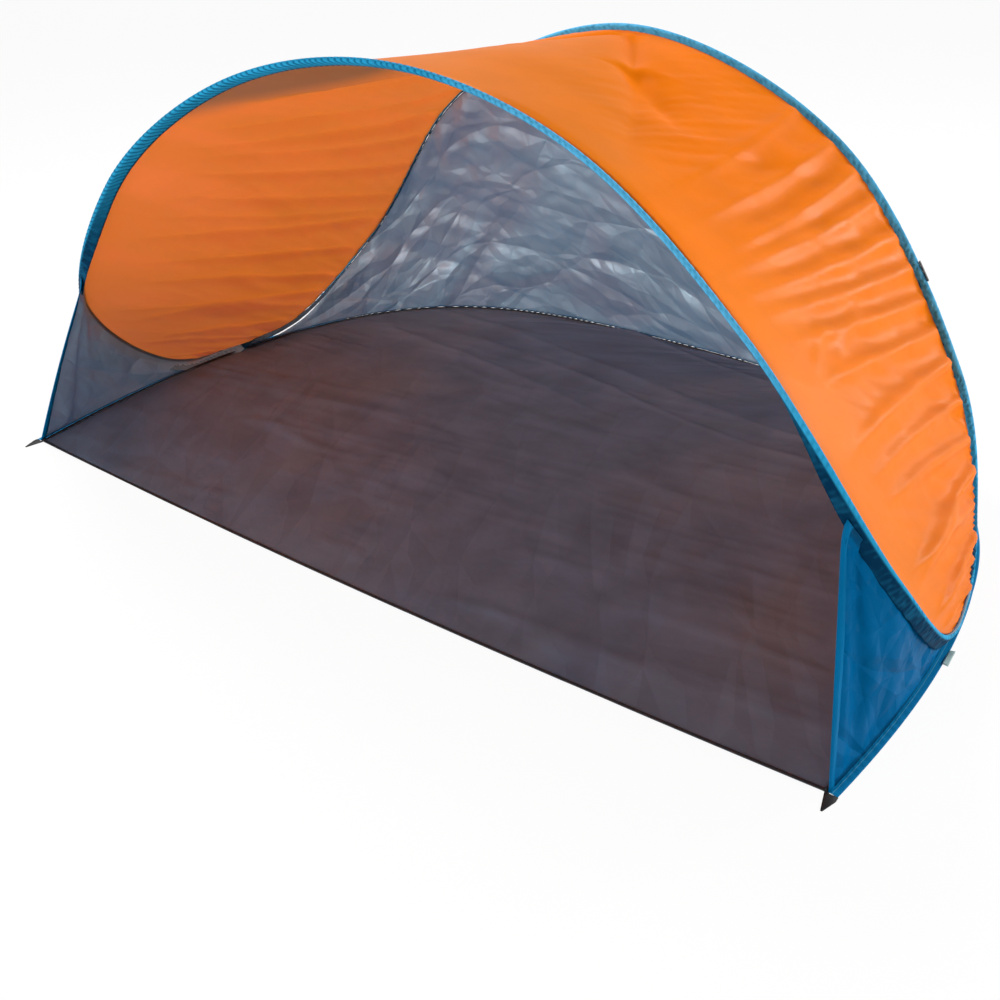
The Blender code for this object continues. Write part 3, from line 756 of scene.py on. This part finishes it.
def broad_folds(x, y, signed, step, width):
    """Height of the broad folds above the smooth canopy. The left half has the same ones, a little moved."""
    lift = np.zeros_like(x)
    for side, seed, share in ((1, 1, 1.0), (-1, 2, 0.8)):
        rng = np.random.default_rng(seed)
        half = ease(signed * side, -1.5, 0.5)[:, None]
        for s0, v0, s1, v1, high, half_width in FOLDS:
            shift = 0.0 if side > 0 else rng.uniform(-0.6, 0.6)
            start = ((s0 + shift) * STEP_LENGTH, v0 * np.interp(s0, step, width))
            end = ((s1 + shift) * STEP_LENGTH, v1 * np.interp(s1, step, width))
            lift += half * high * share * ridge(x * side, y, start, end, half_width)
    return lift


def build_canopy():
    rows, cols = 190, 105
    a = np.append(np.linspace(0, TIP, rows)[:-1], TIP - 0.06)[::-1]
    share = np.linspace(0, 1, cols)
    front, rear = canopy_edge(a), canopy_edge(HALF - a)
    front[-1, 0], rear[-1, 0] = 0.0, 0.0
    line = mix(front[:, None], rear[:, None], share[None, :, None])
    width = np.linalg.norm(rear - front, axis=1)
    centre = np.stack([np.zeros(rows), line[..., 1].mean(1), np.full(rows, 0.3 * ARCH_HEIGHT)], -1)
    inward = unit(centre - line.mean(1))
    sag = np.sin(np.pi * share)[None] * (width / FLOOR_DEPTH)[:, None] * 0.012
    smooth = mirror_rows(line + inward[:, None] * sag[..., None])
    signed = np.concatenate([a, -a[-2::-1]])
    wide = mirror_values(width)[:, None]
    far = np.abs(signed)[:, None]
    x = signed[:, None] * STEP_LENGTH * np.ones((1, cols))
    y = wide * share[None]
    back = wide - y
    edge = np.minimum(y, back)
    lift = broad_folds(x, y, signed, a[::-1], width[::-1])
    fan = x - np.sign(signed)[:, None] * y * 0.14
    lift += 0.0045 * layered(fan * 13.0 + 7, y * 2.0 + 3, 21) * ease(far, 0, 7) * ease(y / wide, 0.05, 0.6)
    lift += 0.0030 * layered(x * 4.0 + 17, y * 3.0 + 3, 31, 2)
    lift *= np.minimum(1, edge / 0.03)
    n = facing(normals_of(smooth), smooth - np.array([0, 0, 0.1]))

    # The cloth is longer by the rear seam, which gathers it, than by the front one
    along = (0.100 + 0.070 * np.exp(-back / 0.20)) * ease(back, 0, 0.015) * ease(y / wide, 0.05, 0.42)
    along *= 0.35 + 0.65 * ease(far, 2, 9)
    seeded = smooth + n * lift[..., None]
    folded = settle(smooth, seeded, along, 0.020 * ease(edge, 0, 0.03), rounds=30, stiff=0.02)

    # Puckers along both seams, and sharp small creases
    run = x / PUCKER
    pucker = np.sin(2 * np.pi * run + 2.5 * noise(run * 0.5, y * 0, 51))
    pucker = pucker * (0.55 + 0.45 * noise(run * 0.23, y * 0 + 4, 52))
    fine = 0.0019 * pucker * np.exp(-back / 0.030) * mix(0.4, 1.0, ease(far, 4, 10))
    fine += 0.0010 * pucker * np.exp(-y / 0.016)
    sharp = creased(fan * 20.0 + 31, y * 4.0 + 9, 41) - 0.4
    sharp = 0.0034 * sharp * ease(far, 3, 12) * np.minimum(1, edge / 0.02)
    fine += sharp * (0.4 + 0.6 * ease(y / wide, 0.2, 0.6))
    fine *= np.minimum(1.0, wide / 0.15)
    folded = folded + facing(normals_of(folded), n) * fine[..., None]

    # The rear edge is drawn up a little between the stitches
    scallop = 0.0013 * (pucker[:, -1] + 0.8 * noise(run[:, -1] * 1.7, run[:, -1] * 0 + 9, 53))
    scallop = scallop * window(np.abs(signed), (5, 10), (21, 23))
    edge_run = unit(folded[:, -1] - folded[:, -3])
    for column, part in ((-1, 1.0), (-2, 0.7), (-3, 0.4)):
        folded[:, column] += edge_run * (scallop * part)[:, None]
    # Painted shade on the inner side near the top of the front arch
    marks = {"painted_shade_crescent": 1 - ease(far + 9 * y / wide, 7.0, 9.0),
             # painted sheen: a paler veil on the low parts of the inner side
             "painted_sheen": np.broadcast_to(ease(far, 14, 21) * 0.8, y.shape)}
    outward = n[rows - 1, cols // 2]
    canopy = cloth("canopy_cloth", folded, [ORANGE_OUT, ORANGE_IN], outward, edge=edge, marks=marks)
    sewn(canopy, ["canopy"])


def wall_base(steps, rows, billow):
    """Columns of a wall down to the ground sheet, with the way out of the shelter, and each row's share of
    the way down. Its top lies against the inner side of the sleeve, up to the wire."""
    b, inside = band(steps), -canopy_side(steps)
    start = hoop(steps) + inside * (SLEEVE_ROUND + 0.0022) - b * SLEEVE_ROUND
    start[:, 2] = np.maximum(start[:, 2], WALL_CLEAR)
    low_share = window(steps, (14, 19), (30, 34))[:, None]
    top = hoop(steps) + b * (seam_reach(steps)[:, None] + 0.0006) + inside * mix(0.0020, 0.0056, low_share)
    top[:, 2] = np.maximum(top[:, 2], WALL_CLEAR)
    low = foot(steps)
    low[..., 2] += 0.0030
    share = np.linspace(0, 1, rows)
    drop = low - top
    out = unit(np.cross(tangent(steps) * np.array([1.0, 1.0, 0.3]), drop))
    out = facing(out, low * np.array([1.0, 1.0, 0.0]))
    push = np.sin(np.pi * share)[None] * top[:, 2:3] / ARCH_HEIGHT * billow
    wall = top[:, None] + drop[:, None] * share[None, :, None] + out[:, None] * push[..., None]
    near = np.exp(-share[None] * np.linalg.norm(drop, axis=1)[:, None] / 0.011)[..., None]
    return wall + ((start - top) * low_share)[:, None] * near, out, share


def build_rear_wall():
    rows = 84
    steps = np.concatenate([np.arange(SEAM_STEP, 42, 0.14), np.linspace(42, HALF, 64)])
    right, out, share = wall_base(steps, rows, 0.022)
    smooth, outs = mirror_rows(right), mirror_rows(out[:, None])
    tall = mirror_values(right[:, 0, 2])[:, None]
    x, z = smooth[..., 0], smooth[..., 2]
    top, low = share[None] * tall, (1 - share)[None] * tall
    edge = np.minimum(top, low)

    # The large creases run down to the right, seen from the front
    drag, cross = x * 0.94 - z * 0.34, z * 0.94 + x * 0.34
    lift = 0.010 * layered(x * 3.0 + 5, z * 2.2 + 2, 61, 2)
    lift += 0.008 * layered(drag * 2.0 + 11, cross * 8.0 + 4, 71)
    lift += 0.010 * (creased(drag * 3.0 + 3, cross * 8.0 + 8, 81) - 0.4)
    lift += 0.005 * np.sin(2 * np.pi * x / 0.075 + 2 * layered(x * 4, z * 2, 95, 2)) * np.exp(-top / 0.16)
    lift *= np.minimum(1, edge / 0.05) * np.minimum(1, tall / 0.25)
    slack = 0.034 * ease(edge, 0, 0.04) * np.minimum(1, tall / 0.3)
    gathered = slack + 0.015 * np.exp(-top / 0.08) * ease(top, 0, 0.02)
    folded = settle(smooth, smooth + outs * lift[..., None], gathered, slack, rounds=45, stiff=0.03)
    run = lengths(smooth, 0)[:, :1]
    pucker = np.sin(2 * np.pi * run / WALL_PUCKER + 2 * noise(run * 20, run * 0, 97))
    fine = 0.0014 * pucker * np.exp(-top / 0.025) + 0.0018 * pucker * np.exp(-low / 0.030)
    sharp = creased(x * 9.0 + z * 4 + 3, z * 9.0 - x * 3 + 8, 91) - 0.4
    fine += 0.0040 * sharp * np.minimum(1, edge / 0.03)
    fine *= np.minimum(1, tall / 0.15)
    folded = folded + outs * fine[..., None]
    wall = cloth("rear_wall_cloth", folded, [BLUE_OUT, BLUE_IN], outs[len(outs) // 2, 0], edge=edge)
    sewn(wall, ["rear_wall"])


# Section of the hem in front of a side wall: into the wall and across it, metres
SIDE_HEM = ((-0.0010, 0.0), (-0.0003, 0.0010), (0.0070, 0.0013), (0.0135, 0.0009),
            (0.0135, -0.0009), (0.0070, -0.0013), (-0.0003, -0.0010))


def build_side_walls():
    rows = 56
    steps = np.arange(WALL_STEP, SEAM_STEP + 0.001, 0.125)
    base, out, share = wall_base(steps, rows, 0.010)
    y, z = base[..., 1], base[..., 2]
    tall = base[:, 0, 2][:, None]
    front = lengths(base, 0)
    edge = np.minimum(np.minimum(share, 1 - share)[None] * tall, front)
    slack = 0.030 * ease(edge, 0, 0.02)
    slant, cross = y + z * 0.5, z - y * 0.3
    for hand, side, seed in ((1.0, "right", 3), (-1.0, "left", 33)):
        smooth, outs = base * flipped(hand), (out * flipped(hand))[:, None]
        lift = 0.006 * layered(y * 5 + 3, z * 4 + 1, seed, 2)
        beside_hem = np.cos(2 * np.pi * (front - 0.035 + 0.10 * z) / 0.07)
        lift += 0.007 * beside_hem * np.exp(-np.abs(front - 0.04) / 0.05)
        lift += 0.004 * (creased(slant * 9 + 8, cross * 5 + 2, seed + 5) - 0.4)
        lift *= np.minimum(1, edge / 0.03) * np.minimum(1, tall / 0.12)
        folded = settle(smooth, smooth + outs * lift[..., None], slack, slack, rounds=45, stiff=0.03)
        fine = 0.0030 * (creased(slant * 14 + 8, cross * 12 + 2, seed + 15) - 0.4)
        folded = folded + outs * (fine * np.minimum(1, edge / 0.02) * np.minimum(1, tall / 0.12))[..., None]
        outward = outs[len(steps) // 2, 0]
        wall = cloth("side_wall_cloth_" + side, folded, [BLUE_OUT, BLUE_IN], outward, edge=edge)
        sewn(wall, ["side_wall_" + side])
        first = folded[0]
        into = unit(folded[2] - folded[0])
        over = unit(np.cross(np.gradient(first, axis=0), into))
        rings = np.stack([first + into * along + over * off for along, off in SIDE_HEM], 1)
        strip = tube("side_hem_cloth_" + side, rings, [HEM_CLOTH], closed=False)
        sewn(strip, ["side_hem_" + side], "front_shell")


# Section of the floor's front hem: backward and up, metres
FRONT_HEM = ((-0.0010, 0.0), (0.0, 0.0011), (0.0050, 0.0009), (0.0055, 0.0), (0.0050, -0.0009),
             (0.0, -0.0011))


def build_floor():
    """Ground sheet with the creases of having been folded, and its hem in front."""
    parts = (np.linspace(WALL_STEP, 30, 100), np.linspace(30.1, 46.8, 90), np.linspace(46.9, HALF - 0.25, 9))
    steps = np.concatenate(parts)
    cols = 131
    edge = foot(steps) - foot_outward(steps) * 0.004 * ease(steps, WALL_STEP, WALL_STEP + 1)[:, None]
    span = np.linspace(-1, 1, cols)
    grid = np.repeat(edge[:, None], cols, axis=1)
    grid[..., 0] = edge[:, :1] * span[None]
    bow = FLOOR_BOW * (1 - (grid[..., 0] / FLOOR_HALF_FRONT) ** 2)
    grid[..., 1] -= np.clip(bow, 0, None) * (1 - ease(grid[..., 1], -FOLD_BACK, -0.2))
    x, y = grid[..., 0], grid[..., 1]
    margin = np.minimum(1, (1 - np.abs(span))[None] * edge[:, :1] / 0.04)

    # Waves across, folding creases of two sizes, and long fine ones, which grow toward the back
    lift = 0.0050 * np.clip(layered(x * 1.1 + 5, y * 7.0 + 3, 101), -0.4, 1)
    lift += 0.0060 * (creased((x + y * 0.5) * 2.2 + 9, (y - x * 0.25) * 4.5 + 4, 111, 2) - 0.3)
    lift += 0.0028 * (creased(x * 6 + 9, y * 7 + 4, 121) - 0.3)
    lift += 0.0050 * creased(x * 0.8 + 2, (y + 0.06 * np.sin(3 * x)) * 12 + 4, 131, 1) * ease(y, 0.1, 0.45)
    lift += 0.0030 * creased(x * 2.0 + y + 6, y * 22 - x * 3 + 1, 141, 2)
    lift = np.clip(lift, 0, None) * margin * (0.25 + 0.75 * ease(np.arange(len(steps)), 0, 10)[:, None])
    grid[..., 2] += 0.0006 + lift
    sheet = cloth("ground_cloth", grid, [FLOOR], (0, 0, 1), thick=FLOOR_THICK)
    sewn(sheet, ["ground_sheet"])
    x = np.linspace(-FLOOR_HALF_FRONT, FLOOR_HALF_FRONT, 240)
    y = 0.0005 - FOLD_BACK - FLOOR_BOW * (1 - (x / FLOOR_HALF_FRONT) ** 2)
    rings = np.stack([np.stack([x, y + along, 0.0016 + off + 0 * x], -1) for along, off in FRONT_HEM], 1)
    hem = tube("front_hem_cloth", rings, [TAPE], closed=False)
    sewn(hem, ["floor_front_hem"], "front_shell")


# Half width and half thickness of the binding, and pitch of the skirt's gathers, metres
BINDING_HALF_WIDE = 0.0032
BINDING_HALF_THICK = 0.0016
GATHER = 0.021


def build_edges():
    """The black binding inside and the light blue skirt outside, sewn to the ground sheet's edge."""
    steps = np.concatenate([np.arange(WALL_STEP, 44, 0.05), np.linspace(44, HALF, 200)])
    edge, out = foot(steps), foot_outward(steps)
    turn = np.radians(np.arange(0, 360, 60))
    inner = edge - out * 0.0060
    inner[:, 2] += 0.0030
    rings = inner[:, None] + out[:, None] * np.cos(turn)[None, :, None] * BINDING_HALF_WIDE
    rings[..., 2] += np.sin(turn)[None] * BINDING_HALF_THICK
    binding = tube("binding_tape", mirror_rows(rings), [TAPE], closed=False)
    sewn(binding, ["floor_binding"])
    share = np.linspace(0, 1, 12)
    wide = skirt_width(edge[:, 1])
    top = edge - out * 0.0030
    top[:, 2] += 0.0010
    low = edge + out * wide[:, None]
    low[:, 2] = 0.0008
    grid = mix(top[:, None], low[:, None], share[None, :, None])
    run = lengths(grid, 0)[:, 6]
    wave = np.sin(2 * np.pi * run / GATHER + 2.2 * noise(run * 30, run * 0, 141))
    size = (wide / SKIRT_REAR) * (1 - 0.8 * ease(np.abs(steps - 25), 6.0, 4.0))
    grid[..., 2] += 0.0017 * (1 + wave)[:, None] * np.sin(np.pi * share**0.8)[None] ** 0.8 * size[:, None]
    skirt = mirror_rows(grid)
    distance = np.broadcast_to(share[None], skirt.shape[:2]) * mirror_values(wide)[:, None]
    made = cloth("skirt_cloth", skirt, [SKIRT_CLOTH], (0, 0, 1), edge=distance)
    sewn(made, ["skirt_left", "skirt_right", "skirt_rear"])


def slab(name, outline, up, mat, body, node):
    """A flat piece with a rounded edge: an outline of points pushed through along up."""
    base = np.array(outline, float)
    centre = base.mean(0)
    rings = np.stack([centre + (base - centre) * shrink + np.array(up) * height
                      for shrink, height in ((0.96, 0.0), (1.0, 0.25), (1.0, 0.75), (0.96, 1.0))])
    sewn(tube(name, rings, [mat], closed=False), [node], body)


# Outline of a corner tab, across and forward from the floor's corner, with its thickness, metres
CORNER_TAB = ((0.0, 0.0), (0.022, 0.0), (0.022, -0.010), (0.013, -0.0385), (0.010, -0.0385))
CORNER_TAB_THICK = 0.0017

# Step at which a guy tab is sewn on, half its length along the hoop, half its width and its thickness
GUY_TAB_STEP = 38.5
GUY_TAB = (0.022, 0.005, 0.0016)


def build_tabs():
    x, y = FLOOR_HALF_FRONT - 0.007, -FOLD_BACK - 0.0010
    half_long, half_wide, thick = GUY_TAB
    for hand, side in ((1.0, "right"), (-1.0, "left")):
        turn = flipped(hand)
        outline = [np.array([x + right, y + forward, 0.0]) * turn for right, forward in CORNER_TAB]
        slab("corner_webbing_" + side, outline, (0, 0, CORNER_TAB_THICK), WEBBING, "front_shell",
             "corner_tab_" + side)
        t, out = tangent(GUY_TAB_STEP), -band(GUY_TAB_STEP)
        f = np.cross(t, out)
        seat = hoop(GUY_TAB_STEP) + out * (SLEEVE_ROUND + 0.0010)
        outline = [(seat + t * q * half_long + f * w * half_wide) * turn
                   for q, w in ((-1, -1), (1, -1), (1, 1), (-1, 1))]
        slab("guy_webbing_" + side, outline, out * turn * thick, WEBBING, "rear_shell",
             "guy_tab_" + side)


# The tag's length, half its width and its middle line's height and distance from the skirt, metres
TAG_LENGTH = 0.045
TAG_HALF_WIDTH = 0.0050
TAG_HEIGHT = 0.0022
TAG_OFF = 0.0030


def build_tag():
    """A blank ribbon tag along the outer edge of the skirt."""
    start, ahead = foot(TAG_STEP), foot(TAG_STEP - 0.5)
    out = foot_outward(TAG_STEP)
    run = unit(ahead - start)
    start = start + out * (skirt_width(start[1]) + 0.001)
    grid = np.array([[start + run * TAG_LENGTH * s + out * (w * TAG_HALF_WIDTH + TAG_OFF)
                      + np.array([0, 0, TAG_HEIGHT + 0.001 * math.sin(3 * s + w)])
                      for w in np.linspace(-1, 1, 7)] for s in np.linspace(0, 1, 13)])
    tag = cloth("tag_ribbon", grid, [TAG], (0, 0, 1), thick=RIBBON_THICK)
    sewn(tag, ["care_tag"])


# Lamps: place, size of the lamp, power and what it points at
LAMPS = (
    ("key_light", (3.6, 0.3, 1.3), 0.7, 47.0, (0.3, 0.1, 0.4)),
    ("rim_light", (2.5, 3.5, 1.2), 1.1, 96.0, (0.6, 0.0, 0.5)),
    ("top_light", (-1.6, 1.0, 3.2), 0.9, 126.0, (0.0, 0.1, 0.4)),
    ("front_light", (-0.9, -4.1, 1.3), 1.4, 76.0, (0.0, 0.2, 0.2)),
)

# The world's light, from a little above the horizon to half way up
SKY = {"From Min": 0.10, "From Max": 0.50, "To Min": 0.85, "To Max": 0.28}

# Half width of the studio floor, and the share of plain white in it for these rays
STUDIO_HALF = 12.0
WHITE_SHARE = 0.94
WHITE_RAYS = ("Is Camera Ray", "Is Glossy Ray", "Is Transmission Ray")

# The camera that fits the photograph, placed from the middle of the floor's front edge
CAMERA_AZIMUTH = math.radians(37.23)
CAMERA_HEIGHT = math.radians(31.44)
CAMERA_ROLL = math.radians(-1.5)
CAMERA_LENS = 41.5
CAMERA_SENSOR = 36.0
CAMERA_PLACE = (1.3235, -1.2511, 1.2615)


def turned_to(side, top, back, place):
    """The matrix of a lamp or camera at a place, from its own three directions."""
    turned = Matrix(np.column_stack([side, top, back]).tolist()).to_4x4()
    turned.translation = place
    return turned


def build_studio():
    n = Nodes(bpy.data.materials.new("studio_white"))
    n.feed(n.shader, {"Base Color": (0.95, 0.95, 0.95), "Roughness": 0.9, "Specular IOR Level": 0.1})
    path = n.add("LightPath")
    seen = 0.0
    for kind in WHITE_RAYS:
        seen = n.math("MAXIMUM", path.outputs[kind], seen)
    n.surface(n.math("MULTIPLY", seen, WHITE_SHARE), n.shader, n.add("Emission"))
    corners = np.array([(-1, -1, 0), (1, -1, 0), (1, 1, 0), (-1, 1, 0)]) * STUDIO_HALF
    corners[:, 2] -= 0.0004
    ground = new_object("studio_floor", corners, np.array([[0, 1, 2, 3]]), [n.owner])
    scene = bpy.context.scene
    scene.world = bpy.data.worlds.new("studio")
    n = Nodes(scene.world, "Background", "World Output")
    parts, level = n.add("SeparateXYZ"), n.add("MapRange", interpolation_type="SMOOTHSTEP")
    n.link(n.add("TexCoord").outputs["Generated"], parts.inputs[0])
    n.feed(level, {"Value": parts.outputs["Z"], **SKY})
    n.feed(n.shader, {"Strength": level.outputs[0], "Color": (1.0, 1.0, 1.0)})
    for name, place, size, power, target in LAMPS:
        light = bpy.data.lights.new(name, "AREA")
        light.size, light.energy = size, power
        lamp = bpy.data.objects.new(name, light)
        aim = unit(np.array(place) - np.array(target))
        side = unit(np.cross(np.array([0.0, 0.0, 1.0]), aim))
        lamp.matrix_world = turned_to(side, np.cross(aim, side), aim, place)
        scene.collection.objects.link(lamp)


def build_camera():
    sin, cos = math.sin(CAMERA_AZIMUTH), math.cos(CAMERA_AZIMUTH)
    low = math.cos(CAMERA_HEIGHT)
    back = np.array([sin * low, -cos * low, math.sin(CAMERA_HEIGHT)])
    right = np.array([cos, sin, 0.0])
    up = np.cross(back, right)
    side = math.cos(CAMERA_ROLL) * right + math.sin(CAMERA_ROLL) * up
    top = math.cos(CAMERA_ROLL) * up - math.sin(CAMERA_ROLL) * right
    data = bpy.data.cameras.new("camera")
    data.sensor_width, data.lens = CAMERA_SENSOR, CAMERA_LENS
    camera = bpy.data.objects.new("camera", data)
    x, y, z = CAMERA_PLACE
    camera.matrix_world = turned_to(side, top, back, (x, y - FOLD_BACK, z))
    scene = bpy.context.scene
    scene.collection.objects.link(camera)
    scene.camera = camera
    scene.view_settings.view_transform = "Standard"


for build in (build_hoop, build_sleeve, build_canopy, build_rear_wall, build_side_walls, build_floor,
              build_edges, build_tabs, build_tag, build_studio, build_camera):
    build()
